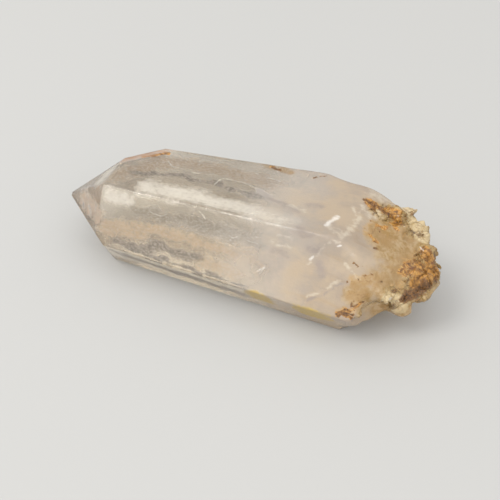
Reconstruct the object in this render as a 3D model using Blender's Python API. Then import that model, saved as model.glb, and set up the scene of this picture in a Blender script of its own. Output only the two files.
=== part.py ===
"""Brandberg quartz: one hexagonal quartz crystal lying on a side face, with a broken, stained base.

The long (c) axis lies along X, with the point towards -X and the broken base towards +X.
+Z is up and -Y is the side that faces the viewer. Sizes below are in millimetres.
"""

import math
import random

import bmesh
import bpy
from mathutils import Vector
from mathutils import noise

MM = 0.001
NODE = "quartz_crystal"
SEED = 14

# Crystal faces
# The six side faces and six end faces of quartz come in pairs, 60 degrees apart round the axis.
# Each pair holds: angle round the axis, side distance, side taper, end distance.
# Distances are from the frame origin on the resting face to the plane of the face.
END_FACE_ANGLE = math.radians(51.8)
FACE_PAIRS = {
    "top": (90.0, 16.37, 0.042, 28.22),
    "front_upper": (150.0, 11.30, 0.051, 24.04),
    "front_lower": (210.0, 5.07, 0.054, 18.06),
    "resting": (270.0, 0.0, 0.0, 16.05),
    "back_lower": (330.0, 9.10, 0.050, 20.25),
    "back_upper": (30.0, 18.63, 0.069, 26.22),
}

# Broken base
# Each flat break holds: outward direction, distance.
BREAKS = {
    "top_slope": ((0.33, -0.07, 0.94), 21.5),
    "near_slope": ((0.50, -0.70, 0.50), 21.6),
    "near_side": ((0.62, -0.78, 0.0), 21.9),
    "back_turn": ((0.16, 0.95, 0.27), 18.45),
    "back_corner": ((0.37, 0.90, 0.23), 21.5),
    "far_slope": ((0.75, 0.45, 0.48), 30.8),
    "back_side": ((0.70, 0.70, -0.10), 26.8),
    "underside": ((0.64, 0.0, -0.77), 13.0),
    "back_underside": ((0.50, 0.50, -0.70), 15.2),
    "nose": ((0.97, -0.10, 0.20), 33.4),
}
BLOCK_SIZE = 160.0

# Shell-shaped scars, hollowed by a large ball.
# Each holds: ball centre, ball radius.
SCARS = {
    "crescent_top": ((23.2, -3.5, 37.3), 22.0),
    "crescent_front": ((14.8, -17.0, 20.6), 13.5),
    "heel": ((26.0, -12.4, -4.6), 10.2),
    "arch": ((26.2, -10.0, 5.6), 5.4),
    "back_flake": ((21.0, 27.0, 9.5), 14.0),
    "end_flake": ((43.5, 8.5, 14.0), 14.5),
}
SCAR_FACETS = 3

# Lumps and small crystals grown on the base.
# Each holds: centre, half sizes, number of hull points.
LUMPS = {
    "lobe": ((27.4, -4.2, 6.0), (2.9, 2.3, 2.1), 34),
    "lobe_root": ((26.0, -4.3, 8.0), (2.2, 2.2, 1.8), 22),
    "nose_crust": ((30.4, 0.0, 9.6), (2.7, 3.2, 2.5), 40),
    "nose_low": ((29.9, -2.2, 8.2), (2.2, 2.1, 1.6), 28),
    "nose_high": ((29.2, 3.0, 12.0), (2.1, 2.4, 1.7), 26),
    "top_crust_a": ((21.0, 6.6, 15.9), (2.1, 1.8, 1.3), 24),
    "top_crust_b": ((23.4, 7.4, 15.3), (1.9, 1.9, 1.4), 24),
    "top_crust_c": ((24.4, 4.6, 14.8), (1.5, 1.7, 1.2), 20),
    "far_crust_a": ((27.2, 8.0, 13.2), (1.9, 1.7, 1.6), 22),
    "far_crust_b": ((28.4, 5.9, 12.6), (1.6, 1.7, 1.7), 22),
    "tongue": ((19.9, -8.9, 5.6), (1.7, 1.2, 1.5), 20),
    "near_crust": ((23.6, -6.6, 9.9), (1.8, 1.3, 1.5), 22),
    "back_crust": ((25.0, 9.4, 8.2), (2.3, 1.8, 2.6), 26),
    "back_low": ((22.4, 7.6, 3.6), (2.2, 2.0, 1.9), 24),
}

# Small pointed crystals that stand out of the base.
# Each holds: centre, direction, width, length.
POINTS = {
    "tooth": ((24.7, 9.3, 15.0), (0.90, 0.25, 0.36), 2.3, 3.6),
    "side_point": ((27.8, 8.0, 12.2), (0.85, 0.45, 0.10), 2.4, 3.8),
    "nose_point": ((30.6, 2.4, 10.2), (0.95, 0.20, 0.10), 2.6, 3.6),
    "end_point": ((28.9, 5.3, 9.0), (0.90, 0.40, -0.15), 2.8, 4.0),
}

# Small chips knocked out of the long edges and the point.
# Each holds: ball centre, ball radius.
CHIPS = {
    "top_edge_a": ((-4.6, -5.0, 17.6), 1.6),
    "top_edge_b": ((7.4, -5.8, 18.1), 1.8),
    "back_edge": ((3.5, 13.6, 18.2), 2.0),
    "front_edge": ((-11.5, -10.3, 6.4), 1.5),
    "low_edge": ((9.0, -8.6, -0.9), 2.0),
    "back_low_edge": ((-6.0, 17.9, 9.0), 2.0),
    "point": ((-36.6, 1.6, 7.9), 1.35),
}

# Grain of crushed crystal along the broken rim
GRAIN_COUNT = 60
GRAIN_SIZE = (0.55, 1.25)
GRAIN_START_X = 19.5

SURFACE = (0.78, 0.74, 0.71, 1.0)
ROUGHNESS = 0.12
IOR = 1.544
EPS = 1e-7
WELD = 0.000001


def clear_scene():
    for item in list(bpy.data.objects):
        bpy.data.objects.remove(item, do_unlink=True)


def link_mesh(name, bm):
    mesh = bpy.data.meshes.new(name)
    bm.to_mesh(mesh)
    bm.free()
    item = bpy.data.objects.new(name, mesh)
    bpy.context.scene.collection.objects.link(item)
    return item


def face_planes():
    """Planes of the whole crystal, as (outward direction, distance in metres)."""
    planes = []
    for angle, side, taper, end in FACE_PAIRS.values():
        turn = math.radians(angle)
        across = Vector((0.0, math.cos(turn), math.sin(turn)))
        outward = (across - Vector((taper, 0.0, 0.0))).normalized()
        planes.append((outward, side * MM))
        end_outward = across * math.sin(END_FACE_ANGLE)
        end_outward.x = -math.cos(END_FACE_ANGLE)
        planes.append((end_outward, end * MM))
    for direction, distance in BREAKS.values():
        outward = Vector(direction)
        length = outward.length
        planes.append((outward / length, distance * MM / length))
    return planes


def cut_block(planes):
    """Cut a block back to every plane in turn, closing each cut."""
    bm = bmesh.new()
    bmesh.ops.create_cube(bm, size=BLOCK_SIZE * MM)
    for outward, distance in planes:
        geometry = bm.verts[:] + bm.edges[:] + bm.faces[:]
        cut = bmesh.ops.bisect_plane(
            bm,
            geom=geometry,
            dist=EPS,
            plane_co=outward * distance,
            plane_no=outward,
            clear_outer=True,
        )
        rim = [item for item in cut["geom_cut"] if isinstance(item, bmesh.types.BMEdge)]
        if rim:
            bmesh.ops.edgeloop_fill(bm, edges=rim)
    bmesh.ops.recalc_face_normals(bm, faces=bm.faces)
    return bm


def make_ball(name, centre, radius, rng):
    """A faceted ball with a slightly uneven surface, for a shell-shaped scar."""
    bm = bmesh.new()
    bmesh.ops.create_icosphere(bm, subdivisions=SCAR_FACETS, radius=radius * MM)
    offset = Vector((rng.uniform(0, 50), rng.uniform(0, 50), rng.uniform(0, 50)))
    for vert in bm.verts:
        swell = noise.noise(vert.co / MM * 0.22 + offset)
        vert.co *= 1.0 + 0.035 * swell
        vert.co += Vector(centre) * MM
    ball = link_mesh(name, bm)
    ball.hide_render = True
    ball.display_type = "WIRE"
    return ball


def make_hull(name, points):
    bm = bmesh.new()
    for point in points:
        bm.verts.new(point)
    hull = bmesh.ops.convex_hull(bm, input=bm.verts)
    loose = [item for item in hull["geom_interior"] if isinstance(item, bmesh.types.BMVert)]
    bmesh.ops.delete(bm, geom=loose, context="VERTS")
    bmesh.ops.recalc_face_normals(bm, faces=bm.faces)
    return link_mesh(name, bm)


def make_lump(name, centre, half, count, rng):
    """An angular lump: the hull of points strewn over an ellipsoid."""
    points = []
    for _ in range(count):
        spot = Vector((rng.gauss(0, 1), rng.gauss(0, 1), rng.gauss(0, 1))).normalized()
        reach = rng.uniform(0.86, 1.06)
        local = Vector((spot.x * half[0], spot.y * half[1], spot.z * half[2])) * reach
        points.append((Vector(centre) + local) * MM)
    return make_hull(name, points)


def make_point(name, centre, direction, width, length, rng):
    """A small six-sided crystal with a point."""
    along = Vector(direction).normalized()
    side = along.cross(Vector((0.0, 0.0, 1.0))).normalized()
    up = side.cross(along)
    roll = rng.uniform(0.0, math.pi / 3.0)
    points = []
    for step in range(6):
        turn = roll + math.radians(60.0 * step)
        out = (side * math.cos(turn) + up * math.sin(turn)) * width * 0.5
        out *= rng.uniform(0.88, 1.12)
        points.append(Vector(centre) + out - along * length * 0.5)
        points.append(Vector(centre) + out + along * length * rng.uniform(0.02, 0.16))
    points.append(Vector(centre) + along * length * 0.5)
    return make_hull(name, [point * MM for point in points])


def join_on(body, tool, operation):
    """Apply one exact Boolean and drop the tool."""
    step = body.modifiers.new(operation.lower(), "BOOLEAN")
    step.operation = operation
    step.solver = "EXACT"
    step.object = tool
    graph = bpy.context.evaluated_depsgraph_get()
    result = bpy.data.meshes.new_from_object(body.evaluated_get(graph))
    body.modifiers.clear()
    old = body.data
    body.data = result
    bpy.data.meshes.remove(old)
    bpy.data.objects.remove(tool, do_unlink=True)


def grain_spots(body, rng):
    """Spots spread over the broken surfaces, kept above the resting face."""
    spots = []
    mesh = body.data
    faces = [face for face in mesh.polygons if face.center.x > GRAIN_START_X * MM]
    weights = [face.area for face in faces]
    while len(spots) < GRAIN_COUNT:
        face = rng.choices(faces, weights)[0]
        corners = [mesh.vertices[index].co for index in face.vertices]
        shares = [rng.random() for _ in corners]
        total = sum(shares)
        spot = sum((corner * share for corner, share in zip(corners, shares)), Vector()) / total
        if spot.z > 3.0 * MM and face.normal.x > 0.2:
            spots.append(spot - face.normal * 0.25 * MM)
    return spots


def tidy_mesh(body):
    bm = bmesh.new()
    bm.from_mesh(body.data)
    bmesh.ops.triangulate(bm, faces=bm.faces)
    bmesh.ops.remove_doubles(bm, verts=bm.verts, dist=WELD)
    low = Vector([min(vert.co[axis] for vert in bm.verts) for axis in range(3)])
    high = Vector([max(vert.co[axis] for vert in bm.verts) for axis in range(3)])
    shift = Vector(((low.x + high.x) / 2, (low.y + high.y) / 2, low.z))
    for vert in bm.verts:
        vert.co -= shift
    bmesh.ops.recalc_face_normals(bm, faces=bm.faces)
    bm.to_mesh(body.data)
    bm.free()
    return shift


def quartz_material():
    material = bpy.data.materials.new(NODE)
    material.use_nodes = True
    shader = material.node_tree.nodes["Principled BSDF"]
    shader.inputs["Base Color"].default_value = SURFACE
    shader.inputs["Roughness"].default_value = ROUGHNESS
    shader.inputs["IOR"].default_value = IOR
    shader.inputs["Transmission Weight"].default_value = 0.6
    return material


def main():
    clear_scene()
    rng = random.Random(SEED)
    body = link_mesh(NODE, cut_block(face_planes()))
    for name, (centre, radius) in SCARS.items():
        join_on(body, make_ball("scar_" + name, centre, radius, rng), "DIFFERENCE")
    for name, (centre, radius) in CHIPS.items():
        join_on(body, make_ball("chip_" + name, centre, radius, rng), "DIFFERENCE")
    spots = grain_spots(body, rng)
    for name, (centre, half, count) in LUMPS.items():
        join_on(body, make_lump("lump_" + name, centre, half, count, rng), "UNION")
    for name, (centre, direction, width, length) in POINTS.items():
        tool = make_point("point_" + name, centre, direction, width, length, rng)
        join_on(body, tool, "UNION")
    for index, spot in enumerate(spots):
        half = [rng.uniform(*GRAIN_SIZE) for _ in range(3)]
        name = "grain_{:02d}".format(index)
        join_on(body, make_lump(name, spot / MM, half, 14, rng), "UNION")
    tidy_mesh(body)
    body.data.materials.clear()
    body.data.materials.append(quartz_material())
    for face in body.data.polygons:
        face.use_smooth = False


main()
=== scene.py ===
import math
import random

import bmesh
import bpy
import numpy as np
from mathutils import Matrix, Vector, kdtree, noise


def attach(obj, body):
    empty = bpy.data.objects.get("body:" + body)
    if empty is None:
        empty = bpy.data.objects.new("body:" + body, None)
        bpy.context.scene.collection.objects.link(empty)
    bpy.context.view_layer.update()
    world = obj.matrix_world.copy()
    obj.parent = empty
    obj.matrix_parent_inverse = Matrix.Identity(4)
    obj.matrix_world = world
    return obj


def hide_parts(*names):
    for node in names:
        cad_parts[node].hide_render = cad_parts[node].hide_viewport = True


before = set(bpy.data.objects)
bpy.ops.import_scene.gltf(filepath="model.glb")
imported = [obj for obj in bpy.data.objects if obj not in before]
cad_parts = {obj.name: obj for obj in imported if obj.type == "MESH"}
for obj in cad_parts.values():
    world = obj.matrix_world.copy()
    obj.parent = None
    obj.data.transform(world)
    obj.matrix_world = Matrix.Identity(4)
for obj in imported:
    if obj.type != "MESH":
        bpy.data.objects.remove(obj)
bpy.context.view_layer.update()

MM = 0.001
SEED = 23

# Camera, fitted to the crystal's edges in the photo: its place in mm, its angles in degrees
CAMERA_AT = (32.54, -103.27, 98.54)
CAMERA_AZIMUTH = 17.35
CAMERA_ELEVATION = 41.21
CAMERA_ROLL = 2.46
CAMERA_LENS = 57.6
SENSOR = 36.0

# Each side face has its own end face at the point. Their distances are in mm, in the frame that
# they were fitted in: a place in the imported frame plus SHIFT.
SHIFT = Vector((-1.135, 2.745, 0.0))
END_FACE_ANGLE = math.radians(51.8)
# name: (degrees round the long axis, side distance, taper as a slope, end distance)
FACE_PAIRS = {
    "top": (90.0, 16.37, 0.042, 28.22),
    "front_upper": (150.0, 11.30, 0.051, 24.04),
    "front_lower": (210.0, 5.07, 0.054, 18.06),
    "resting": (270.0, 0.0, 0.0, 16.05),
    "back_lower": (330.0, 9.10, 0.050, 20.25),
    "back_upper": (30.0, 18.63, 0.069, 26.22),
}

# Where the broken base is crushed and crusted, as centre and half sizes in mm
CRUST = [
    ((22.8, 3.6, 16.6), (3.4, 2.2, 1.8)),
    ((27.5, 4.6, 14.5), (3.4, 3.4, 2.6)),
    ((31.5, -1.5, 11.8), (3.4, 4.4, 3.0)),
    ((30.0, -6.0, 9.6), (3.4, 2.6, 2.4)),
    ((27.0, -8.6, 8.6), (2.4, 2.2, 2.4)),
    ((20.8, -12.2, 7.6), (2.0, 1.6, 1.4)),
    ((28.0, 9.5, 9.0), (4.5, 4.0, 6.0)),
    ((22.0, 6.0, 3.0), (4.0, 6.0, 3.0)),
]

# Where the broken base is stained amber all through
AMBER = [
    ((28.5, 1.0, 8.0), (9.3, 14.0, 10.5)),
    ((25.5, -1.0, 14.3), (6.0, 5.5, 3.8)),
    ((21.8, -11.0, 9.6), (2.4, 3.0, 3.2)),
]

# Marks on the outside, as name: [(half width, points along the stroke)] in mm
OUTSIDE = {
    # Painted glints: bright spots painted where chips catch the light
    "painted_glint": [
        (0.44, [(14.1, -4.2, 16.9), (14.7, -2.9, 17.0), (15.5, -1.5, 17.0)]),
        (0.22, [(13.2, -8.9, 13.2), (13.6, -8.6, 13.7)]),
        (0.16, [(18.9, -7.3, 16.3), (19.6, -7.3, 16.1)]),
        (0.16, [(17.0, -7.2, 15.8), (17.6, -7.2, 16.0)]),
        (0.14, [(5.0, -10.6, 9.4), (6.0, -10.2, 10.2)]),
        (0.28, [(26.7, -9.4, 9.4), (27.0, -9.0, 9.4)]),
        (0.17, [(26.0, -9.5, 10.0), (26.3, -9.3, 9.8)]),
        (0.21, [(26.0, 1.6, 15.9), (26.3, 2.1, 15.5)]),
        (0.14, [(29.3, 0.5, 13.2), (30.2, -0.7, 13.4)]),
        (0.14, [(24.6, 3.5, 16.3), (25.3, 3.6, 16.1)]),
    ],
    "crack": [
        (0.16, [(21.3, -9.8, 12.4), (23.2, -8.7, 12.9), (25.0, -8.2, 11.6)]),
        (0.14, [(19.7, -10.2, 11.5), (20.5, -11.2, 10.0), (21.9, -12.4, 8.1)]),
        (0.17, [(19.1, -13.0, 6.7), (20.5, -12.4, 7.8), (22.2, -11.9, 8.9), (24.8, -10.2, 9.7)]),
        (0.30, [(19.8, -13.1, 6.6), (20.6, -12.7, 7.4), (21.7, -12.7, 7.4)]),
        (0.26, [(20.0, -12.8, 7.1), (21.9, -13.0, 6.8)]),
        (1.05, [(29.0, -7.2, 8.8), (30.0, -6.5, 9.1), (31.0, -5.6, 9.5), (32.1, -5.4, 10.4)]),
        (0.7, [(31.4, -5.0, 10.4), (32.8, -4.2, 10.9)]),
        (0.3, [(18.3, 4.6, 17.0), (20.4, 4.3, 16.9)]),
        (0.4, [(22.4, 3.3, 16.6), (23.0, 2.9, 16.2)]),
        (0.3, [(27.6, -4.4, 13.5), (28.8, -4.4, 13.0)]),
        (0.35, [(31.6, 0.2, 12.6), (32.0, -1.2, 12.0)]),
        (0.17, [(19.2, 4.4, 17.1), (20.6, 4.7, 16.6), (21.7, 3.1, 16.8), (24.6, 3.7, 16.4)]),
        (0.16, [(29.3, -0.4, 13.2), (30.8, -2.7, 12.4), (30.8, -4.9, 11.0)]),
        (0.14, [(30.9, 0.8, 13.5), (32.5, -0.6, 11.2), (32.6, -3.7, 11.5)]),
        (0.14, [(28.0, -5.2, 13.0), (28.9, -3.4, 13.1), (30.6, -2.2, 12.6)]),
        (0.12, [(20.9, 0.3, 16.2), (22.1, -0.1, 15.7), (22.6, -0.9, 15.5)]),
        (0.1, [(21.2, -11.6, 9.3), (22.5, -11.6, 9.4), (23.0, -11.0, 9.8)]),
        (0.14, [(23.1, 6.4, 15.9), (24.5, 3.9, 16.4), (24.7, 3.2, 15.1)]),
        (0.12, [(28.6, -6.9, 9.9), (27.8, -6.8, 11.0), (28.7, -5.5, 11.7)]),
        # Small dark specks
        (0.45, [(1.3, 8.8, 16.4), (2.5, 8.4, 16.4)]),
        (0.34, [(8.8, 7.8, 16.7), (9.4, 8.2, 16.7)]),
        (0.30, [(10.0, 8.7, 16.8), (10.3, 9.0, 16.8)]),
        (0.17, [(20.1, -8.6, 14.4), (20.6, -8.8, 14.1)]),
        (0.16, [(21.4, -8.8, 14.3), (22.0, -8.8, 13.9)]),
        (0.16, [(21.1, -1.1, 16.0), (21.5, -1.5, 15.8)]),
        (0.20, [(22.2, -4.9, 15.3), (23.1, -4.6, 15.0)]),
        # The back, which the photo doesn't show
        (0.2, [(24.0, 11.0, 12.0), (26.5, 10.5, 9.0), (27.0, 9.0, 5.0)]),
    ],
    "rust": [
        (1.0, [(19.4, 4.3, 17.0), (21.0, 4.0, 16.8), (23.5, 3.9, 16.5)]),
        (1.05, [(22.3, 3.5, 16.9), (24.6, 3.7, 16.4), (24.7, 2.9, 15.5)]),
        (0.44, [(24.0, 2.2, 15.2), (25.2, 0.9, 15.7)]),
        (1.57, [(28.4, -4.9, 12.9), (30.3, -4.0, 12.3), (32.1, -3.0, 12.0)]),
        (1.05, [(30.1, -0.3, 13.4), (31.4, -1.1, 12.4)]),
        (0.40, [(19.4, -12.9, 6.9), (21.5, -12.3, 8.2), (22.5, -11.8, 8.9)]),
        (0.44, [(21.6, -2.6, 15.7), (22.8, -3.4, 15.4)]),
        (0.44, [(23.2, 0.5, 15.4), (21.9, 0.0, 15.8)]),
        (0.88, [(29.6, -5.7, 10.6), (31.9, -4.8, 11.3)]),
        (0.26, [(1.3, 8.9, 16.4), (2.6, 8.3, 16.4)]),
        (0.21, [(8.9, 7.9, 16.7), (9.3, 8.3, 16.7)]),
        (0.17, [(9.9, 8.8, 16.8), (10.1, 9.2, 16.8)]),
        (0.35, [(21.9, -13.1, 6.9), (20.5, -12.9, 6.9)]),
        # A speck on the top, and the red streak by the point
        (0.4, [(0.8, 8.8, 16.3), (2.4, 8.5, 16.4)]),
        (0.40, [(-22.4, 4.4, 15.3), (-20.4, 5.4, 15.4), (-18.6, 6.9, 15.5)]),
        # The back and underside
        (2.2, [(28.0, 10.0, 10.0), (29.0, 8.0, 5.0)]),
        (1.2, [(30.5, 3.0, 9.0), (31.0, 2.0, 6.0)]),
    ],
    "ochre": [
        (1.57, [(21.4, -1.8, 15.8), (23.8, -2.3, 15.2)]),
        (0.7, [(20.6, -0.8, 16.3), (21.4, 0.3, 16.1)]),
        (1.22, [(21.1, -10.2, 11.8), (22.9, -9.3, 12.2), (25.5, -7.9, 11.7)]),
        (1.05, [(21.1, -11.3, 9.9), (23.0, -10.6, 10.4)]),
        (0.7, [(19.7, -12.7, 7.3), (22.0, -12.3, 8.2)]),
        (0.88, [(25.2, 0.9, 15.7), (27.5, 0.8, 13.9)]),
        (1.57, [(27.7, -4.3, 13.4), (29.7, -1.2, 13.0)]),
        (0.88, [(-0.4, 9.0, 16.3), (4.4, 8.3, 16.5)]),
        (1.05, [(26.5, -6.1, 13.2), (27.8, -6.9, 10.7)]),
        # The back and underside
        (3.5, [(24.0, 9.0, 11.0), (26.0, 7.0, 4.0)]),
        (4.0, [(27.0, 3.0, 4.0), (29.0, -2.0, 5.0)]),
    ],
    "yellow": [
        (2.1, [(5.3, -11.3, 4.8), (6.6, -11.2, 4.2)]),
        (2.2, [(13.8, -12.0, 5.0), (16.4, -12.0, 4.4)]),
    ],
    "pale": [
        (1.5, [(25.8, 6.6, 15.6), (27.6, 5.0, 14.6), (29.6, 3.0, 13.8)]),
        (1.3, [(26.6, -9.4, 9.8), (27.6, -8.4, 8.6), (28.6, -8.2, 7.4)]),
    ],
    "veil": [
        (0.8, [(20.4, 1.6, 16.4), (21.6, 2.4, 16.3)]),
        # Painted reflection: this stroke brightens the line along the top face's front edge, over
        # the inner bright sheet
        (0.95, [(2.5, -4.9, 16.3), (5.5, -5.4, 16.5), (8.5, -6.0, 16.6)]),
        (0.55, [(7.6, -1.0, 16.7), (9.6, -1.5, 16.7)]),
        (0.62, [(14.4, -4.1, 16.9), (17.5, -5.8, 16.7), (18.3, -3.2, 16.8)]),
        (0.42, [(18.3, -3.2, 16.8), (18.9, 0.0, 16.8), (18.8, 2.5, 17.1)]),
        (0.24, [(13.2, -9.2, 12.6), (14.2, -8.1, 14.0), (15.3, -7.3, 15.8), (17.0, -7.0, 16.5)]),
        (0.34, [(6.6, -8.0, 14.1), (9.4, -8.2, 14.0)]),
        (0.28, [(7.4, -7.4, 15.3), (9.6, -7.3, 15.5)]),
        (0.34, [(5.3, -5.7, 16.6), (6.5, -5.9, 16.6)]),
        (0.24, [(13.9, -12.1, 7.7), (16.5, -11.2, 9.5), (18.7, -10.2, 11.4)]),
        (0.22, [(18.6, -7.7, 15.4), (20.5, -7.8, 15.7)]),
        (0.22, [(18.6, -8.4, 13.9), (20.2, -9.4, 13.1), (21.7, -9.8, 12.5)]),
        (0.34, [(17.0, 2.1, 17.1), (18.2, -0.2, 17.1)]),
        (1.7, [(20.5, 7.6, 16.8), (24.3, 7.6, 15.6)]),
    ],
    "lilac": [
        (0.65, [(0.8, 1.5, 16.4), (3.4, -0.1, 16.5), (7.2, -1.4, 16.6), (9.1, -2.2, 16.7)]),
        (0.9, [(10.2, 0.1, 16.8), (12.1, 0.5, 16.8)]),
        (0.8, [(6.7, -8.7, 12.9), (9.2, -8.8, 12.9)]),
        (0.7, [(12.5, -8.1, 14.5), (14.3, -7.8, 14.6)]),
        (0.9, [(8.3, -6.1, 16.7), (12.4, -7.0, 16.4)]),
        (0.7, [(14.5, -8.8, 13.0), (15.7, -10.0, 11.5)]),
        (0.26, [(14.3, -12.3, 7.4), (16.9, -11.4, 9.2), (18.9, -10.5, 11.1)]),
        (0.5, [(-32.0, -1.2, 10.6), (-29.6, -4.6, 8.6)]),
        (0.5, [(-30.2, -2.2, 11.6), (-27.0, -6.6, 8.9)]),
        (0.5, [(-28.0, -3.2, 13.0), (-24.6, -8.2, 9.3)]),
    ],
}

# Veils and clouds sealed inside, and sheets of painted shade and painted reflection among them, in
# the same form
INSIDE = {
    # Painted shade: a brown sheet under the back of the top face, where shade shows through the
    # glass
    "brown_painted_shade": [
        (2.4, [(-24.5, -1.7, 14.5), (-21.0, 1.4, 14.6), (-17.5, 4.2, 14.8)]),
        (2.0, [(-18.7, 4.8, 14.7), (-7.7, 5.6, 15.2), (3.5, 4.6, 15.7)]),
    ],
    # Painted shade: a dark sheet in the same place
    "dark": [
        (0.35, [(-33.2, 0.4, 11.0), (-29.5, 3.0, 12.8), (-25.2, 5.6, 14.2)]),
        (0.79, [
            (-22.2, -0.0, 14.6), (-14.5, 1.3, 14.9), (-7.5, 1.4, 15.2), (-0.2, 0.1, 15.5),
            (6.2, -0.4, 15.8),
        ]),
    ],
    # Painted reflection: a bright white sheet under the top face's front edge
    "white_painted_reflection": [
        (2.3, [(-17.6, -3.2, 14.8), (-8.0, -3.2, 15.2)]),
        (1.9, [(-8.0, -3.3, 15.2), (1.1, -3.8, 15.6), (8.5, -4.3, 15.8)]),
        (1.1, [(4.0, -4.6, 15.9), (9.0, -5.4, 16.0)]),
    ],
    # Painted reflection: a bright sheet under the front face near the point
    "pearl_painted_reflection": [
        (1.4, [(-23.8, -5.7, 13.4), (-19.7, -5.9, 13.5)]),
    ],
    "grey": [
        (1.4, [
            (-18.0, -6.6, 12.4), (-12.9, -6.7, 12.8), (-6.4, -6.9, 13.1), (0.9, -7.5, 12.8),
            (5.2, -7.8, 12.7),
        ]),
        (0.88, [(3.2, -6.8, 14.3), (9.4, -7.2, 14.1)]),
    ],
    "peach": [
        (1.75, [(-23.5, -8.4, 8.8), (-19.8, -8.4, 9.2), (-17.3, -8.5, 9.2)]),
        (1.3, [(-18.5, -8.3, 9.6), (-14.3, -7.9, 10.5)]),
        (1.22, [(-14.3, -7.9, 10.5), (-7.7, -8.3, 10.6), (-1.3, -8.7, 10.5), (5.4, -9.2, 10.2)]),
        (1.57, [(-5.2, -10.1, 7.7), (1.2, -10.5, 7.6)]),
        (1.57, [(7.8, -9.6, 9.8), (12.4, -10.5, 8.7)]),
    ],
    # Painted dark reflection: a dark sheet under the lower front face
    "painted_dark_reflection": [
        (1.3, [(-22.0, -8.2, 4.6), (-14.0, -8.8, 3.8), (-4.0, -9.3, 3.2), (2.5, -9.6, 3.0)]),
        (1.14, [(-15.4, -9.5, 7.3), (-14.3, -9.3, 7.9), (-12.3, -9.4, 8.0)]),
        (0.88, [(-11.8, -9.6, 7.9), (-8.6, -9.8, 7.9), (-5.7, -9.7, 8.3)]),
        (0.61, [(-21.5, -9.6, 6.9), (-14.4, -10.3, 6.3), (-4.9, -10.9, 6.2), (3.2, -11.1, 5.6)]),
    ],
    "green": [
        (1.7, [(-26.6, 1.6, 13.1), (-27.0, -2.3, 12.7)]),
    ],
    "pink": [
        (1.75, [(-30.0, -3.4, 9.0), (-25.4, -7.1, 9.8)]),
    ],
}

# The colours of these, and how thickly they cover
INSIDE_LOOK = {
    "brown_painted_shade": ((0.38, 0.27, 0.16), 0.84),
    "dark": ((0.13, 0.095, 0.06), 0.92),
    "white_painted_reflection": ((1.0, 0.98, 0.925), 0.97),
    "pearl_painted_reflection": ((1.0, 0.98, 0.925), 0.97),
    "grey": ((0.29, 0.24, 0.17), 0.78),
    "peach": ((0.72, 0.54, 0.34), 0.74),
    "painted_dark_reflection": ((0.15, 0.11, 0.075), 0.88),
    "green": ((0.90, 0.88, 0.80), 0.80),
    "pink": ((0.72, 0.56, 0.43), 0.75),
}

# Which of them keep the form that they are given, which are bright all over as painted reflections,
# and the pale tone that mottles the others
STRAIGHT_CLOUDS = ("white_painted_reflection", "pearl_painted_reflection", "green", "pink")
BRIGHT_PAINTED_REFLECTIONS = ("white_painted_reflection", "pearl_painted_reflection")
HAZY_TONE = (0.92, 0.85, 0.74)

# The layer that carries them: how far it lies under the faces, where it ends towards the base,
# and the longest edge of its mesh, in mm
CLOUD_INSET = 0.8
CLOUD_END_X = 17.0
CLOUD_EDGE_LENGTH = 0.55

# Healed cracks: bright threads a little under the faces, in the same form
WISPS = [
    (0.17, [
        (-3.8, 3.1, 15.6), (-2.2, 3.0, 15.7), (0.0, 2.2, 15.8), (3.4, 1.2, 15.9), (5.5, 0.1, 16.0),
    ]),
    (0.13, [(-12.4, 3.1, 15.3), (-11.3, 3.1, 15.3), (-10.2, 3.5, 15.4)]),
    (0.20, [(-7.0, -6.0, 15.1), (-6.2, -6.3, 14.7), (-5.5, -6.6, 14.2)]),
    (0.16, [(-6.9, 0.5, 15.5), (-6.7, 2.1, 15.5), (-5.6, 3.1, 15.6), (-3.8, 3.1, 15.6)]),
    (0.14, [(5.2, -6.8, 14.9), (6.6, -6.7, 15.2)]),
    (0.13, [(-1.0, -7.6, 12.9), (-0.1, -7.8, 12.7), (0.7, -7.5, 13.2)]),
    (0.11, [(5.2, -10.4, 8.6), (6.1, -9.7, 9.9)]),
    (0.13, [(-17.5, 5.3, 15.0), (-16.1, 3.8, 15.1), (-14.5, 3.7, 15.2)]),
    (0.12, [(-15.7, -6.7, 12.9), (-13.7, -6.9, 12.8), (-12.4, -6.6, 13.4)]),
    (0.13, [(4.4, -7.0, 14.5), (6.5, -6.5, 15.6), (8.3, -6.2, 16.4)]),
    (0.13, [(2.2, -7.8, 13.0), (4.1, -7.9, 12.9)]),
    (0.12, [(-2.4, 6.6, 15.5), (4.4, 5.3, 15.8)]),
]

# The body's mesh, with lengths in mm
REMESH_DEPTH = 8
REMESH_SCALE = 0.95
WELD = 0.001
# A point is on a break if it is this far from every crystal face, and this far along
BREAK_GAP = (0.06, 0.30)
BREAK_START_X = (6.0, 9.0)
# A point is on an edge if it is this near to two faces
EDGE_GAP = (0.30, 0.08)
LARGE_CHIPS = {"cell": 2.8, "tilt": 0.28, "seed": SEED + 1}
SMALL_CHIPS = {"cell": 1.5, "tilt": 0.34, "seed": SEED + 2}
NOISE_STRIDE = (13.7, 5.1, 9.3)

# The body's glass: what light does in it
QUARTZ_IOR = 1.544
HAZE_COLOUR = (0.95, 0.84, 0.62)
HAZE_DENSITY = 46.0

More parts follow.
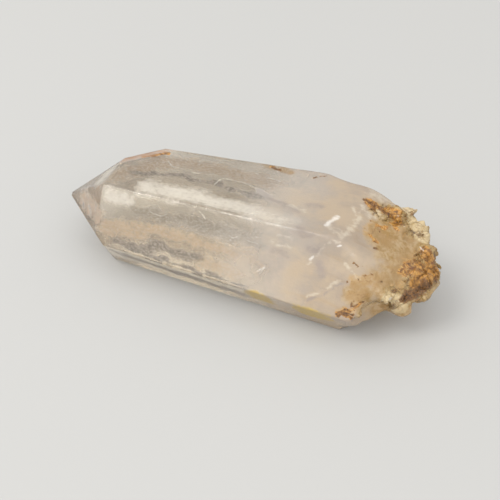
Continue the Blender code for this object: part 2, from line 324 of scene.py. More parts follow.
# The body's colours: one tone, or two that a noise runs between
TONES = {
    "clear": (0.975, 0.945, 0.90),
    "milk": ((0.38, 0.294, 0.211), (0.495, 0.376, 0.243)),
    # Painted shade: a darker milky tone for the top of the crystal
    "milk_painted_top_shade": (0.24, 0.20, 0.16),
    "lilac": (0.27, 0.225, 0.20),
    "honey": ((0.54, 0.33, 0.10), (0.80, 0.60, 0.34)),
    "crust": ((0.40, 0.24, 0.07), (0.72, 0.53, 0.25)),
    "pale": ((0.65, 0.465, 0.22), (0.87, 0.735, 0.475)),
    "ochre": ((0.50, 0.27, 0.07), (0.68, 0.46, 0.20)),
    "veil": (0.66, 0.60, 0.49),
    # Pale edge line: partly wear, partly a painted edge highlight
    "wear_and_edge_highlight": (0.92, 0.90, 0.86),
    "yellow": ((0.38, 0.26, 0.06), (0.56, 0.41, 0.13)),
    "rust": ((0.15, 0.055, 0.010), (0.49, 0.235, 0.046)),
    "rust_grain": (0.66, 0.43, 0.14),
    "crack": ((0.045, 0.018, 0.005), (0.25, 0.115, 0.03)),
    # Colour of the painted glints
    "painted_glint": (0.97, 0.95, 0.92),
    "sliver": ((0.36, 0.20, 0.12), (0.50, 0.36, 0.26)),
}

# How noise eats the edge of each mark: (noise, low, high, gain, how strongly the mark covers)
MARK_EDGES = {
    "lilac": ("frost", 0.2, 1.1, 2.0, 0.75),
    "amber": ("cloud", 0.15, 0.95, 1.6, 1.0),
    "pale": ("cloud", 0.3, 0.8, 1.6, 1.0),
    "ochre": ("cloud", 0.25, 1.15, 2.4, 1.0),
    "veil": ("frost", 0.1, 1.3, 3.2, 0.45),
    "yellow": ("cloud", 0.1, 0.9, 2.4, 0.95),
    "rust": ("cloud", 0.3, 0.8, 2.4, 1.0),
    "crack": ("grit", 0.25, 0.8, 2.0, 1.0),
    "painted_glint": ("fine", 0.1, 1.4, 1.6, 0.62),
}

# Noises of the two main materials: (stretch or None, scale per mm, detail, roughness, distortion)
QUARTZ_NOISE = {
    "coarse": (None, 0.16, 3.0, 0.55, 0.0),
    "fine": (None, 0.9, 5.0, 0.6, 0.0),
    "grit": (None, 2.8, 5.0, 0.65, 0.0),
    "cloud": (None, 0.55, 6.0, 0.65, 0.5),
    "patch": (None, 0.75, 6.0, 0.62, 0.3),
    "wisp": ((0.10, 0.5, 0.5), 1.0, 4.0, 0.6, 0.6),
    "frost": ((0.55, 1.0, 1.0), 1.3, 6.0, 0.7, 0.0),
    "growth": ((2.6, 0.06, 0.06), 1.0, 3.0, 0.55, 0.0),
}
CLOUD_NOISE = {
    "streak": ((0.30, 0.8, 0.8), 1.0, 6.0, 0.68, 0.8),
    "fine": (None, 1.4, 6.0, 0.7, 0.0),
    "fleck": ((0.6, 1.0, 1.0), 3.2, 5.0, 0.75, 0.0),
}

# Wisps are thin tubes, flattened across
WISP_SIDES = 6
WISP_STEPS = 12
WISP_FLATNESS = 0.4
WISP_SWAY = 0.15

# The stage, in metres
FLOOR_HALF = 1.5
FLOOR_DROP = 0.00002
LIGHT_COLOUR = (1.0, 0.99, 0.97)
KEY_POWER = 1.5


# Small helpers


def link(item):
    """Put a new object into the scene."""
    bpy.context.scene.collection.objects.link(item)
    return item


def smooth_step(low, high, value):
    """0 at low and 1 at high, eased between; low may be the larger one."""
    t = np.clip((value - low) / (high - low), 0.0, 1.0)
    return t * t * (3.0 - 2.0 * t)


def noise_at(points, scale, seed, octaves):
    """Perlin noise at each point, where scale is the feature size in mm."""
    offset = Vector([seed * stride for stride in NOISE_STRIDE])
    out = np.zeros(len(points))
    size = 1.0
    for octave in range(octaves):
        step = scale / (2.0 ** octave)
        out += size * np.array([noise.noise(Vector(p) / step + offset) for p in points])
        size *= 0.5
    return out


def face_planes():
    """Side and end planes in mm, as name: (outward, distance)."""
    planes = {}
    for name, (angle, side, taper, end) in FACE_PAIRS.items():
        turn = math.radians(angle)
        across = Vector((0.0, math.cos(turn), math.sin(turn)))
        outward = (across - Vector((taper, 0.0, 0.0))).normalized()
        planes["side_" + name] = (outward, side - outward.dot(SHIFT))
        end_outward = across * math.sin(END_FACE_ANGLE)
        end_outward.x = -math.cos(END_FACE_ANGLE)
        planes["end_" + name] = (end_outward, end - end_outward.dot(SHIFT))
    return planes


PLANES = face_planes()


# Points, normals and masks of a mesh, in mm


def vertex_points(mesh):
    points = np.empty(len(mesh.vertices) * 3, dtype=np.float32)
    mesh.vertices.foreach_get("co", points)
    return points.reshape(-1, 3).astype(float) / MM


def vertex_normals(mesh):
    normals = np.empty(len(mesh.vertices) * 3, dtype=np.float32)
    mesh.vertex_normals.foreach_get("vector", normals)
    return normals.reshape(-1, 3).astype(float)


def set_points(mesh, points):
    mesh.vertices.foreach_set("co", (points * MM).astype(np.float32).ravel())
    mesh.update()


def add_mask(mesh, name, values):
    layer = mesh.attributes.new(name, "FLOAT", "POINT")
    layer.data.foreach_set("value", values.astype(np.float32))


def plane_gap(points, name, inset=0.0):
    """How far each point is from a crystal face, or from that face drawn in by inset."""
    outward, distance = PLANES[name]
    return np.abs(points @ np.array(outward) - distance + inset)


def broken_mask(points):
    """0 on the crystal's own faces, 1 on the broken and overgrown surfaces."""
    nearest = np.full(len(points), np.inf)
    for name in PLANES:
        nearest = np.minimum(nearest, plane_gap(points, name))
    return smooth_step(*BREAK_GAP, nearest) * smooth_step(*BREAK_START_X, points[:, 0])


def edge_mask(points):
    """1 on the crystal's own edges, where two of its faces meet."""
    gaps = np.array([plane_gap(points, name) for name in PLANES])
    second_nearest = np.sort(gaps, axis=0)[1]
    return smooth_step(*EDGE_GAP, second_nearest)


def ball_mask(points, spots, fuzz=0.25):
    """1 inside any of the (centre, half sizes) ellipsoids, fading to 0 outside."""
    mask = np.zeros(len(points))
    for centre, half in spots:
        reach = np.linalg.norm((points - np.array(centre)) / np.array(half), axis=1)
        mask = np.maximum(mask, smooth_step(1.0 + fuzz, 1.0 - fuzz, reach))
    return mask


def stroke_mask(points, strokes, fuzz):
    """1 along any of the (half width, points) strokes, fading to 0 beside it."""
    mask = np.zeros(len(points))
    for width, path in strokes:
        path = [np.array(spot) for spot in path]
        for a, b in zip(path[:-1], path[1:]):
            along = b - a
            t = np.clip((points - a) @ along / (along @ along), 0.0, 1.0)
            reach = np.linalg.norm(points - a - t[:, None] * along, axis=1) / width
            mask = np.maximum(mask, smooth_step(1.0 + fuzz, 1.0 - fuzz, reach))
    return mask


def warped(points, scale, amount, seed):
    """Points pushed about by noise, so that strokes measured from them look grown, not drawn."""
    push = [noise_at(points, scale, seed + axis, octaves=3) for axis in range(3)]
    return points + amount * np.array(push).T


def smoothed(mesh, points, values, rounds, weight=1.0):
    """Values averaged over neighbouring vertices, as often as rounds says."""
    pairs = np.empty(len(mesh.edges) * 2, dtype=np.int32)
    mesh.edges.foreach_get("vertices", pairs)
    a, b = pairs.reshape(-1, 2).T
    count = np.bincount(a, minlength=len(points)) + np.bincount(b, minlength=len(points))
    count = np.maximum(count, 1)
    out = values.astype(float).copy()
    if out.ndim == 1:
        out = out[:, None]
    gain = np.full(len(points), 0.6) * weight
    for _ in range(rounds):
        total = np.zeros_like(out)
        for axis in range(out.shape[1]):
            total[:, axis] = np.bincount(a, out[b, axis], len(points))
            total[:, axis] += np.bincount(b, out[a, axis], len(points))
        out += (total / count[:, None] - out) * gain[:, None]
    return out if values.ndim > 1 else out[:, 0]


# Body mesh


def remeshed_copy(node, depth):
    """A dense, even copy of the CAD solid that keeps its sharp edges."""
    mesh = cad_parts[node].data.copy()
    bm = bmesh.new()
    bm.from_mesh(mesh)
    bmesh.ops.remove_doubles(bm, verts=bm.verts, dist=WELD * MM)
    bm.to_mesh(mesh)
    bm.free()
    source = link(bpy.data.objects.new("remesh_source", mesh))
    step = source.modifiers.new("remesh", "REMESH")
    step.mode = "SHARP"
    step.octree_depth = depth
    step.scale = REMESH_SCALE
    step.sharpness = 1.0
    step.use_remove_disconnected = True
    graph = bpy.context.evaluated_depsgraph_get()
    dense = bpy.data.meshes.new_from_object(source.evaluated_get(graph))
    bpy.data.objects.remove(source, do_unlink=True)
    bpy.data.meshes.remove(mesh)
    return dense


def refine_crust(mesh):
    """Split the faces of the crushed patches once more, so that they can carry fine grain."""
    fine = ball_mask(vertex_points(mesh), CRUST) > 0.02
    bm = bmesh.new()
    bm.from_mesh(mesh)
    edges = [edge for edge in bm.edges if all(fine[vert.index] for vert in edge.verts)]
    bmesh.ops.subdivide_edges(bm, edges=edges, cuts=1, use_grid_fill=True)
    bm.to_mesh(mesh)
    bm.free()


def facet_relief(points, cell, tilt, seed):
    """Tilted flat cells, as crushed crystal has, and how near each point is to a seam."""
    low = points.min(axis=0) - cell
    high = points.max(axis=0) + cell
    dice = random.Random(seed)
    count = int(np.prod((high - low) / cell))
    tree = kdtree.KDTree(count)
    centres = []
    leans = []
    for index in range(count):
        spot = [dice.uniform(low[axis], high[axis]) for axis in range(3)]
        centres.append(spot)
        leans.append([dice.gauss(0.0, tilt) for _ in range(3)])
        tree.insert(spot, index)
    tree.balance()
    found = [tree.find_n(p, 2) for p in points]
    picks = np.array([pair[0][1] for pair in found])
    seam = np.array([pair[1][2] - pair[0][2] for pair in found]) / cell
    offset = points - np.array(centres)[picks]
    return np.sum(offset * np.array(leans)[picks], axis=1), seam


def chipped(points, broken, crust):
    """The height in mm and the seams of chips on the broken surfaces, most where it is crushed."""
    rough = broken > 0.02
    large, large_seam = facet_relief(points[rough], **LARGE_CHIPS)
    small, small_seam = facet_relief(points[rough], **SMALL_CHIPS)
    chips = 0.40 * large + 0.32 * small * crust[rough]
    height = np.zeros(len(points))
    height[rough] = chips * broken[rough] * (0.10 + 0.90 * crust[rough])
    seam = np.zeros(len(points))
    seam[rough] = np.maximum(
        smooth_step(0.08, 0.02, large_seam), smooth_step(0.11, 0.02, small_seam)
    )
    return height, seam


def rounded_breaks(mesh, points, broken, crust):
    """The points with the plain breaks worn round, while faces, crust and the underside stay."""
    soft = np.clip(2.2 * smoothed(mesh, points, broken, 26), 0.0, 1.0) * (1.0 - 0.9 * crust)
    soft *= smooth_step(0.3, 2.0, points[:, 2])
    return smoothed(mesh, points, points, 70, soft)


def add_outside_masks(mesh, points):
    """One mask for each kind of mark on the outside."""
    amber_points = warped(points, scale=4.0, amount=1.2, seed=17.0)
    add_mask(mesh, "amber", ball_mask(amber_points, AMBER, 0.35))
    bent = warped(points, scale=1.6, amount=0.45, seed=11.0)
    straight = warped(points, scale=1.6, amount=0.15, seed=11.0)
    for name, strokes in OUTSIDE.items():
        fuzz = 1.0 if name in ("veil", "lilac") else 0.6
        mask = stroke_mask(straight if name == "painted_glint" else bent, strokes, fuzz)
        if name == "yellow":
            mask *= smooth_step(0.40, 0.12, plane_gap(points, "side_front_lower"))
        add_mask(mesh, name, mask)
    back_edge = smooth_step(1.5, 0.5, plane_gap(points, "end_back_upper"))
    along_top = smooth_step(14.4, 15.0, points[:, 2]) * smooth_step(-28.0, -25.0, points[:, 0])
    add_mask(mesh, "sliver", back_edge * along_top)


def make_body():
    mesh = remeshed_copy("quartz_crystal", REMESH_DEPTH)
    refine_crust(mesh)
    points = vertex_points(mesh)
    broken = broken_mask(points)
    crust = ball_mask(points, CRUST)
    points = rounded_breaks(mesh, points, broken, crust)
    set_points(mesh, points)
    normals = vertex_normals(mesh)
    lift, seam = chipped(points, broken, crust)
    edge = edge_mask(points)

    # The crystal's own faces wave a little, and nothing grows through the resting face
    face = 1.0 - broken
    stretched = points * np.array([1.0, 0.5, 0.5])
    lift += face * 0.045 * noise_at(stretched, scale=5.0, seed=1.0, octaves=2)
    resting = smooth_step(0.5, 0.0, points[:, 2])
    lift = np.where(resting > 0.0, np.minimum(lift, 0.0) * (1.0 - resting), lift)
    points = points + normals * lift[:, None]
    points[:, 2] = np.maximum(points[:, 2], 0.0)
    set_points(mesh, points)

    add_mask(mesh, "broken", smoothed(mesh, points, broken, 30))
    add_mask(mesh, "crust", crust * broken)
    add_mask(mesh, "seam", seam * crust * broken)
    add_mask(mesh, "edge", edge * face)
    add_outside_masks(mesh, points)
    crushed = crust * broken > 0.5
    for polygon in mesh.polygons:
        polygon.use_smooth = not crushed[polygon.vertices[0]]
    return link(bpy.data.objects.new("quartz_body", mesh))


# Materials


class Graph:
    """A short way to write the node tree of a material or a world."""

    def __init__(self, owner):
        owner.use_nodes = True
        self.owner = owner
        self.tree = owner.node_tree
        self.tree.nodes.clear()

    def node(self, kind, **values):
        item = self.tree.nodes.new(kind)
        for key, value in values.items():
            setattr(item, key, value)
        return item

    def link(self, source, target):
        self.tree.links.new(source, target)

    def put(self, socket, value):
        if isinstance(value, bpy.types.NodeSocket):
            self.link(value, socket)
        else:
            socket.default_value = value

    def math(self, operation, a, b, c=None, clamp=False):
        item = self.node("ShaderNodeMath", operation=operation, use_clamp=clamp)
        self.put(item.inputs[0], a)
        self.put(item.inputs[1], b)
        if c is not None:
            self.put(item.inputs[2], c)
        return item.outputs[0]

    def times(self, a, b, clamp=False):
        return self.math("MULTIPLY", a, b, clamp=clamp)

    def scaled(self, value, gain, start):
        """value * gain + start"""
        return self.math("MULTIPLY_ADD", value, gain, start)

    def most(self, first, *others):
        """The largest of several values."""
        for other in others:
            first = self.math("MAXIMUM", first, other)
        return first

    def ramp(self, value, low, high, out_low=0.0, out_high=1.0):
        """out_low at low and out_high at high, eased between."""
        item = self.node("ShaderNodeMapRange", interpolation_type="SMOOTHSTEP")
        self.put(item.inputs["Value"], value)
        item.inputs["From Min"].default_value = low
        item.inputs["From Max"].default_value = high
        item.inputs["To Min"].default_value = out_low
        item.inputs["To Max"].default_value = out_high
        return item.outputs["Result"]

    def attribute(self, name):
        return self.node("ShaderNodeAttribute", attribute_name=name).outputs["Fac"]

    def split(self, vector):
        """The x, y and z of a vector."""
        item = self.node("ShaderNodeSeparateXYZ")
        self.link(vector, item.inputs[0])
        return item.outputs["X"], item.outputs["Y"], item.outputs["Z"]

    def place(self):
        """Object position in mm."""
        where = self.node("ShaderNodeTexCoord").outputs["Object"]
        scale = self.node("ShaderNodeVectorMath", operation="SCALE")
        self.link(where, scale.inputs[0])
        scale.inputs["Scale"].default_value = 1.0 / MM
        return scale.outputs["Vector"]

    def squeeze(self, vector, factors):
        item = self.node("ShaderNodeVectorMath", operation="MULTIPLY")
        self.link(vector, item.inputs[0])
        item.inputs[1].default_value = factors
        return item.outputs["Vector"]

    def noise(self, vector, scale, detail, rough=0.55, distortion=0.0):
        item = self.node("ShaderNodeTexNoise")
        self.link(vector, item.inputs["Vector"])
        item.inputs["Scale"].default_value = scale
        item.inputs["Detail"].default_value = detail
        item.inputs["Roughness"].default_value = rough
        item.inputs["Distortion"].default_value = distortion
        return item.outputs["Fac"]

    def noises(self, vector, table):
        """A noise value for each row of a noise table, by name."""
        found = {}
        for name, (stretch, *rest) in table.items():
            source = self.squeeze(vector, stretch) if stretch else vector
            found[name] = self.noise(source, *rest)
        return found

    def cells(self, vector, scale, feature="F1"):
        item = self.node("ShaderNodeTexVoronoi", feature=feature)
        self.link(vector, item.inputs["Vector"])
        item.inputs["Scale"].default_value = scale
        return item.outputs["Distance"]

    def network(self, vector, scale, thin, wide, sway):
        """1 on the wavering walls of a net of cells, 0 inside them."""
        swirl = self.node("ShaderNodeTexNoise")
        self.link(vector, swirl.inputs["Vector"])
        swirl.inputs["Scale"].default_value = scale
        swirl.inputs["Detail"].default_value = 4.0
        pushed = self.node("ShaderNodeVectorMath", operation="MULTIPLY_ADD")
        self.link(swirl.outputs["Color"], pushed.inputs[0])
        pushed.inputs[1].default_value = (sway, sway, sway)
        self.link(vector, pushed.inputs[2])
        wall = self.cells(pushed.outputs["Vector"], scale, "DISTANCE_TO_EDGE")
        return self.ramp(wall, wide, thin)

    def mix(self, factor, a, b):
        """A colour between a and b."""
        item = self.node("ShaderNodeMix", data_type="RGBA")
        self.put(item.inputs["Factor"], factor)
        self.put(item.inputs["A"], a if isinstance(a, bpy.types.NodeSocket) else (*a, 1.0))
        self.put(item.inputs["B"], b if isinstance(b, bpy.types.NodeSocket) else (*b, 1.0))
        return item.outputs["Result"]

    def fade(self, factor, a, b):
        """A number between a and b."""
        item = self.node("ShaderNodeMix")
        self.put(item.inputs["Factor"], factor)
        self.put(item.inputs["A"], a)
        self.put(item.inputs["B"], b)
        return item.outputs["Result"]

    def bump(self, height, strength, distance, normal=None):
        item = self.node("ShaderNodeBump")
        item.inputs["Strength"].default_value = strength
        item.inputs["Distance"].default_value = distance
        self.link(height, item.inputs["Height"])
        if normal is not None:
            self.link(normal, item.inputs["Normal"])
        return item.outputs["Normal"]

    def broken_edge(self, mask, grain, low, high, gain):
        """A soft mask whose edge is eaten away by a noise value."""
        value = self.math("MULTIPLY_ADD", self.math("SUBTRACT", grain, 0.5), gain, mask)
        return self.times(self.ramp(value, low, high), self.ramp(mask, 0.02, 0.2))

    def surface(self, values):
        """A Principled shader with these sockets, on the material's output, which it returns."""
        shader = self.node("ShaderNodeBsdfPrincipled")
        for name, value in values.items():
            self.put(shader.inputs[name], value)
        out = self.node("ShaderNodeOutputMaterial")
        self.link(shader.outputs[0], out.inputs["Surface"])
        return out


def quartz_material():
    g = Graph(bpy.data.materials.new("quartz"))
    place = g.place()
    along, _, height = g.split(place)
    grains = g.noises(place, QUARTZ_NOISE)
    fine, grit, cloud = grains["fine"], grains["grit"], grains["cloud"]
    crust = g.attribute("crust")
    marks = {}
    for name, (grain, low, high, gain, share) in MARK_EDGES.items():
        mask = g.broken_edge(g.attribute(name), grains[grain], low, high, gain)
        marks[name] = g.times(mask, share)

    # Milky towards the base, clear towards the point
    milk = g.ramp(g.scaled(grains["coarse"], 18.0, along), 4.0, 26.0, 0.07, 0.66)
    milk = g.math("ADD", milk, g.ramp(grains["wisp"], 0.5, 0.75, 0.0, 0.10), clamp=True)
    frosted = g.times(g.ramp(grains["coarse"], 0.35, 0.65), 0.4)
    frosted = g.scaled(grains["frost"], 0.6, frosted)
    milk_tone = g.mix(g.ramp(frosted, 0.25, 0.75), *TONES["milk"])
    # Painted shade: the milky tone is darkened a little towards the top face
    milk_tone = g.mix(g.ramp(height, 13.0, 17.0, 0.0, 0.10), milk_tone, TONES["milk_painted_top_shade"])
    colour = g.mix(g.times(milk, 1.35, clamp=True), TONES["clear"], milk_tone)
    colour = g.mix(marks["lilac"], colour, TONES["lilac"])

    # The base: amber glass, pale crushed crust, and ochre on both
    amber = g.times(marks["amber"], g.scaled(g.attribute("broken"), 0.30, 0.70))
    dapple = g.scaled(fine, 0.5, g.times(cloud, 0.5))
    colour = g.mix(amber, colour, g.mix(g.ramp(dapple, 0.40, 0.60), *TONES["honey"]))
    colour = g.mix(crust, colour, g.mix(grit, *TONES["crust"]))
    colour = g.mix(marks["pale"], colour, g.mix(fine, *TONES["pale"]))
    colour = g.mix(g.times(marks["ochre"], 0.8), colour, g.mix(grit, *TONES["ochre"]))

    # Pale veils, a pale line on the edges towards the point that is partly wear and partly a
    # painted edge highlight, and the yellow patches
    colour = g.mix(marks["veil"], colour, TONES["veil"])
    wear_and_edge_highlight = g.times(g.attribute("edge"), g.ramp(fine, 0.42, 0.6))
    wear_and_edge_highlight = g.times(wear_and_edge_highlight, g.ramp(along, 3.0, 7.0, 1.0, 0.1))
    colour = g.mix(g.times(wear_and_edge_highlight, 0.25), colour, TONES["wear_and_edge_highlight"])
    colour = g.mix(marks["yellow"], colour, g.mix(grit, *TONES["yellow"]))

    # Rust, and the dark lines: drawn cracks, seams between chips, and a net of hairlines
    rust_tone = g.mix(g.ramp(grains["patch"], 0.35, 0.57), *TONES["rust"])
    rust_tone = g.mix(g.ramp(grit, 0.50, 0.75), rust_tone, TONES["rust_grain"])
    colour = g.mix(marks["rust"], colour, rust_tone)
    seam = g.times(g.attribute("seam"), g.ramp(cloud, 0.40, 0.60, 0.0, 0.85))
    hair = g.network(g.squeeze(place, (0.7, 1.3, 1.0)), scale=0.55, thin=0.015, wide=0.05, sway=1.4)
    near = g.most(crust, marks["rust"], g.times(marks["ochre"], 0.55), g.times(amber, 0.3))
    hair = g.times(g.times(hair, near), g.ramp(cloud, 0.40, 0.58, 0.1, 0.95))
    dark = g.most(marks["crack"], seam, hair)
    colour = g.mix(dark, colour, g.mix(g.ramp(grit, 0.35, 0.65), *TONES["crack"]))

    # Painted glints: bright spots painted on chips where they catch the light; and the reddish edge
    # at the back of the point
    colour = g.mix(marks["painted_glint"], colour, TONES["painted_glint"])
    sliver = g.times(g.attribute("sliver"), g.ramp(grains["wisp"], 0.3, 0.55, 0.35, 1.0))
    colour = g.mix(sliver, colour, g.mix(fine, *TONES["sliver"]))

    # Where it is stained, milky or painted with glints, less light goes through
    stain_and_glint = g.most(
        marks["rust"], dark, marks["yellow"], sliver,
        marks["painted_glint"], marks["veil"], marks["lilac"],
    )
    base_clear = g.scaled(marks["pale"], -0.14, g.scaled(crust, -0.15, 0.58))
    through = g.fade(amber, g.math("SUBTRACT", 1.0, milk), base_clear)
    through = g.times(through, g.scaled(stain_and_glint, -0.68, 1.0), clamp=True)
    rough = g.ramp(grit, 0.4, 0.8, 0.01, 0.05)
    for mask, gain in ((crust, 0.06), (wear_and_edge_highlight, 0.15), (stain_and_glint, 0.17), (amber, 0.08)):
        rough = g.scaled(mask, gain, rough)

    # Fine growth lines run across the side faces, and grit covers the crust
    normal = g.bump(grains["growth"], 0.12, 0.0004)
    grit_height = g.times(grit, g.ramp(crust, 0.0, 1.0, 0.15, 1.0))
    normal = g.bump(grit_height, 0.5, 0.0005, normal)

    out = g.surface({
        "Base Color": colour,
        "Transmission Weight": through,
        "IOR": QUARTZ_IOR,
        "Roughness": rough,
        "Normal": normal,
    })
    haze = g.node("ShaderNodeVolumeAbsorption")
    haze.inputs["Color"].default_value = (*HAZE_COLOUR, 1.0)
    haze.inputs["Density"].default_value = HAZE_DENSITY
    g.link(haze.outputs[0], out.inputs["Volume"])
    return g.owner


def clouds_and_painted_light_material():
    g = Graph(bpy.data.materials.new("inner_clouds_and_painted_light"))
    place = g.place()
    grains = g.noises(place, CLOUD_NOISE)
    streak, fine = grains["streak"], grains["fine"]
    grain = g.scaled(fine, 0.5, g.times(streak, 0.5))
    colour = g.mix(fine, (0.78, 0.68, 0.54), (0.92, 0.86, 0.77))
    cover = g.ramp(streak, 0.45, 0.75, 0.02, 0.40)
    for name, (tone, density) in INSIDE_LOOK.items():
        bright = name in BRIGHT_PAINTED_REFLECTIONS
        high, gain = (1.10, 1.6) if bright else (1.00, 2.3)
        part = g.broken_edge(g.attribute(name), grain, 0.15, high, gain)
        hazy = tuple(0.35 * own + 0.65 * haze for own, haze in zip(tone, HAZY_TONE))
        mottle = 0.0 if bright else g.ramp(grains["fleck"], 0.42, 0.74)
        colour = g.mix(part, colour, g.mix(mottle, tone, hazy))
        cover = g.most(cover, g.times(part, density))
    dots = g.times(g.ramp(g.cells(place, 2.2), 0.20, 0.12), g.ramp(streak, 0.48, 0.62))
    g.surface({
        "Base Color": g.mix(dots, colour, (0.98, 0.95, 0.90)),
        "Alpha": g.most(cover, g.times(dots, 0.9)),
        "Roughness": 0.8,
        "Specular IOR Level": 0.1,
    })
    return g.owner


def wisp_material():
    g = Graph(bpy.data.materials.new("wisps"))
    fine = g.noise(g.place(), 1.8, 4.0, 0.6)
    g.surface({
        "Base Color": g.mix(fine, (0.90, 0.84, 0.74), (1.0, 0.98, 0.94)),
        "Alpha": g.ramp(fine, 0.35, 0.6, 0.35, 0.85),
        "Roughness": 0.6,
    })
    return g.owner


def floor_material():
    g = Graph(bpy.data.materials.new("floor"))
    grain = g.noise(g.place(), 0.01, 2.0)
    tone = g.mix(grain, (0.445, 0.445, 0.438), (0.455, 0.455, 0.448))
    g.surface({"Base Color": tone, "Roughness": 0.6})
    return g.owner


# What is sealed inside, with sheets of painted reflection and painted shade


def smooth_object(name, mesh, material):
    """A new object whose faces are all shaded smooth."""
    for polygon in mesh.polygons:
        polygon.use_smooth = True
    mesh.materials.append(material)
    return link(bpy.data.objects.new(name, mesh))


def inset_block(inset, end_x):
    """The crystal's own outline, drawn in by inset, cut short and left open at end_x, in mm."""
    bm = bmesh.new()
    bmesh.ops.create_cube(bm, size=160 * MM)
    cuts = [(outward, distance - inset) for outward, distance in PLANES.values()]
    cuts.append((Vector((1.0, 0.0, 0.0)), end_x))
    for outward, distance in cuts:
        cut = bmesh.ops.bisect_plane(
            bm, geom=bm.verts[:] + bm.edges[:] + bm.faces[:], dist=1e-7,
            plane_co=outward * distance * MM, plane_no=outward, clear_outer=True,
        )
        rim = [item for item in cut["geom_cut"] if isinstance(item, bmesh.types.BMEdge)]
        if rim:
            bmesh.ops.edgeloop_fill(bm, edges=rim)
    end_faces = [face for face in bm.faces if face.normal.x > 0.9]
    bmesh.ops.delete(bm, geom=end_faces, context="FACES")
    bmesh.ops.triangulate(bm, faces=bm.faces)
    for _ in range(9):
        long_edges = [
            edge for edge in bm.edges if edge.calc_length() > CLOUD_EDGE_LENGTH * MM
        ]
        if not long_edges:
            break
        bmesh.ops.subdivide_edges(bm, edges=long_edges, cuts=1)
        bmesh.ops.triangulate(bm, faces=bm.faces)
    return bm


def make_clouds_and_painted_light():
    """A cloudy growth layer a little under the faces, as a phantom is, that also carries painted
    reflections and painted shade.
    """
    bm = inset_block(CLOUD_INSET, CLOUD_END_X)
    mesh = bpy.data.meshes.new("inner_clouds_and_painted_light")
    bm.to_mesh(mesh)
    bm.free()
    points = vertex_points(mesh)
    lift = 0.25 * noise_at(points, scale=3.0, seed=6.0, octaves=2)
    points = points + vertex_normals(mesh) * lift[:, None]
    set_points(mesh, points)
    bent = warped(points, scale=3.0, amount=0.8, seed=31.0)
    straight = warped(points, scale=3.0, amount=0.3, seed=31.0)
    for name, strokes in INSIDE.items():
        mask = stroke_mask(straight if name in STRAIGHT_CLOUDS else bent, strokes, 0.9)
        # The painted reflection keeps to the top face
        if name == "white_painted_reflection":
            mask *= smooth_step(0.75, 0.35, plane_gap(points, "side_top", CLOUD_INSET))
        add_mask(mesh, name, mask)
    clouds = smooth_object("inner_clouds_and_painted_light", mesh, clouds_and_painted_light_material())
    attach(clouds, "root")


def smooth_path(path, steps):
    """Evenly stepped points on a curve through the given ones."""
    ends = [Vector(spot) for spot in (path[0], *path, path[-1])]
    spots = []
    for a, b, c, d in zip(ends[:-3], ends[1:-2], ends[2:-1], ends[3:]):
        for step in range(steps):
            t = step / steps
            bend = (2.0 * a - 5.0 * b + 4.0 * c - d) * t * t
            bend = bend + (3.0 * b - a - 3.0 * c + d) * t * t * t
            spots.append(0.5 * (2.0 * b + (c - a) * t + bend))
    return spots + [ends[-1]]


def add_tube(bm, spots, width, dice):
    """A flattened tube of uneven width along the points, thin at both ends, in mm."""
    rings = []
    for index, spot in enumerate(spots):
        along = spots[min(index + 1, len(spots) - 1)] - spots[max(index - 1, 0)]
        side = along.cross(Vector((0.0, 0.0, 1.0))).normalized()
        lift = side.cross(along).normalized()
        taper = math.sin(math.pi * index / (len(spots) - 1)) ** 0.6
        size = width * (0.15 + 0.85 * taper) * dice.uniform(0.7, 1.25)
        ring = []
        for corner in range(WISP_SIDES):
            turn = math.radians(360 / WISP_SIDES * corner)
            offset = side * math.cos(turn) + lift * math.sin(turn) * WISP_FLATNESS
            ring.append(bm.verts.new((spot + offset * size) * MM))
        rings.append(ring)
    for ring, other in zip(rings[:-1], rings[1:]):
        for corner in range(WISP_SIDES):
            after = (corner + 1) % WISP_SIDES
            bm.faces.new((ring[corner], ring[after], other[after], other[corner]))
    bm.faces.new(rings[0][::-1])
    bm.faces.new(rings[-1])


def make_wisps():
    bm = bmesh.new()
    dice = random.Random(SEED + 5)
    noise.seed_set(SEED)  # noise_vector follows the clock if it isn't seeded
    for width, path in WISPS:
        spots = smooth_path(path, WISP_STEPS)
        spots = [spot + WISP_SWAY * noise.noise_vector(spot * 0.9) for spot in spots]
        add_tube(bm, spots, width, dice)
    bmesh.ops.recalc_face_normals(bm, faces=bm.faces)
    mesh = bpy.data.meshes.new("wisps")
    bm.to_mesh(mesh)
    bm.free()
    wisps = smooth_object("wisps", mesh, wisp_material())
    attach(wisps, "root")


# Stage: camera, floor and light


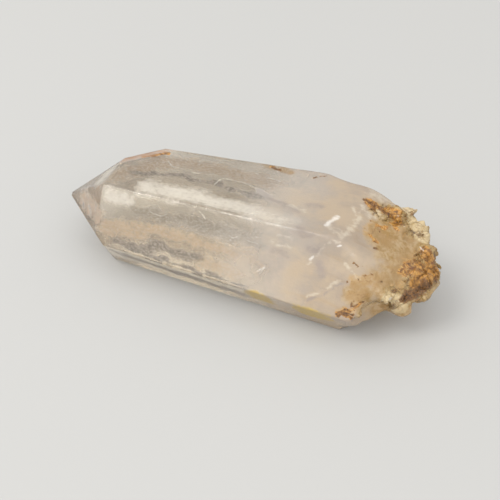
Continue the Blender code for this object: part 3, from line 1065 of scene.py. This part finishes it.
def make_camera():
    azimuth = math.radians(CAMERA_AZIMUTH)
    elevation = math.radians(CAMERA_ELEVATION)
    roll = math.radians(CAMERA_ROLL)
    back = Vector((
        math.sin(azimuth) * math.cos(elevation),
        -math.cos(azimuth) * math.cos(elevation),
        math.sin(elevation),
    ))
    level = Vector((math.cos(azimuth), math.sin(azimuth), 0.0))
    upright = back.cross(level)
    right = level * math.cos(roll) + upright * math.sin(roll)
    up = upright * math.cos(roll) - level * math.sin(roll)
    data = bpy.data.cameras.new("camera")
    data.sensor_width = SENSOR
    data.lens = CAMERA_LENS
    data.clip_start = 0.005
    camera = link(bpy.data.objects.new("camera", data))
    camera.matrix_world = Matrix((
        (right.x, up.x, back.x, CAMERA_AT[0] * MM),
        (right.y, up.y, back.y, CAMERA_AT[1] * MM),
        (right.z, up.z, back.z, CAMERA_AT[2] * MM),
        (0.0, 0.0, 0.0, 1.0),
    ))
    bpy.context.scene.camera = camera


def make_floor():
    bm = bmesh.new()
    bmesh.ops.create_grid(bm, x_segments=8, y_segments=8, size=FLOOR_HALF)
    mesh = bpy.data.meshes.new("floor")
    bm.to_mesh(mesh)
    bm.free()
    mesh.materials.append(floor_material())
    floor = link(bpy.data.objects.new("floor", mesh))
    floor.location.z = -FLOOR_DROP


def area_light(name, spot, target, size, power, colour):
    data = bpy.data.lights.new(name, "AREA")
    data.shape = "RECTANGLE"
    data.size, data.size_y = size
    data.energy = power
    data.color = colour
    lamp = link(bpy.data.objects.new(name, data))
    lamp.location = spot
    aim = Vector(target) - Vector(spot)
    lamp.rotation_euler = aim.to_track_quat("-Z", "Y").to_euler()


def make_light():
    """A wide soft dome, brighter overhead and on the camera's side, and one large lamp."""
    g = Graph(bpy.data.worlds.new("studio"))
    where = g.node("ShaderNodeTexCoord").outputs["Generated"]
    _, depth, height = g.split(where)
    overhead = g.ramp(height, 0.0, 0.85, 0.88, 1.40)
    sideways = g.ramp(depth, -0.9, 0.9, 1.38, 0.66)
    sky = g.node("ShaderNodeBackground")
    sky.inputs["Color"].default_value = (*LIGHT_COLOUR, 1.0)
    g.link(g.times(overhead, sideways), sky.inputs["Strength"])
    out = g.node("ShaderNodeOutputWorld")
    g.link(sky.outputs[0], out.inputs["Surface"])
    bpy.context.scene.world = g.owner
    area_light("key", (-0.28, -0.26, 0.55), (0, 0, 0), (0.25, 0.25), KEY_POWER, LIGHT_COLOUR)


# Light has to pass many faces, those of the body and those of the sealed pieces
scene = bpy.context.scene
scene.view_settings.view_transform = "Standard"
scene.cycles.max_bounces = 24
scene.cycles.transmission_bounces = 20
scene.cycles.transparent_max_bounces = 24

make_camera()
make_floor()
make_light()
body = make_body()
body.data.materials.clear()
body.data.materials.append(quartz_material())
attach(body, "root")
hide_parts("quartz_crystal")
make_clouds_and_painted_light()
make_wisps()
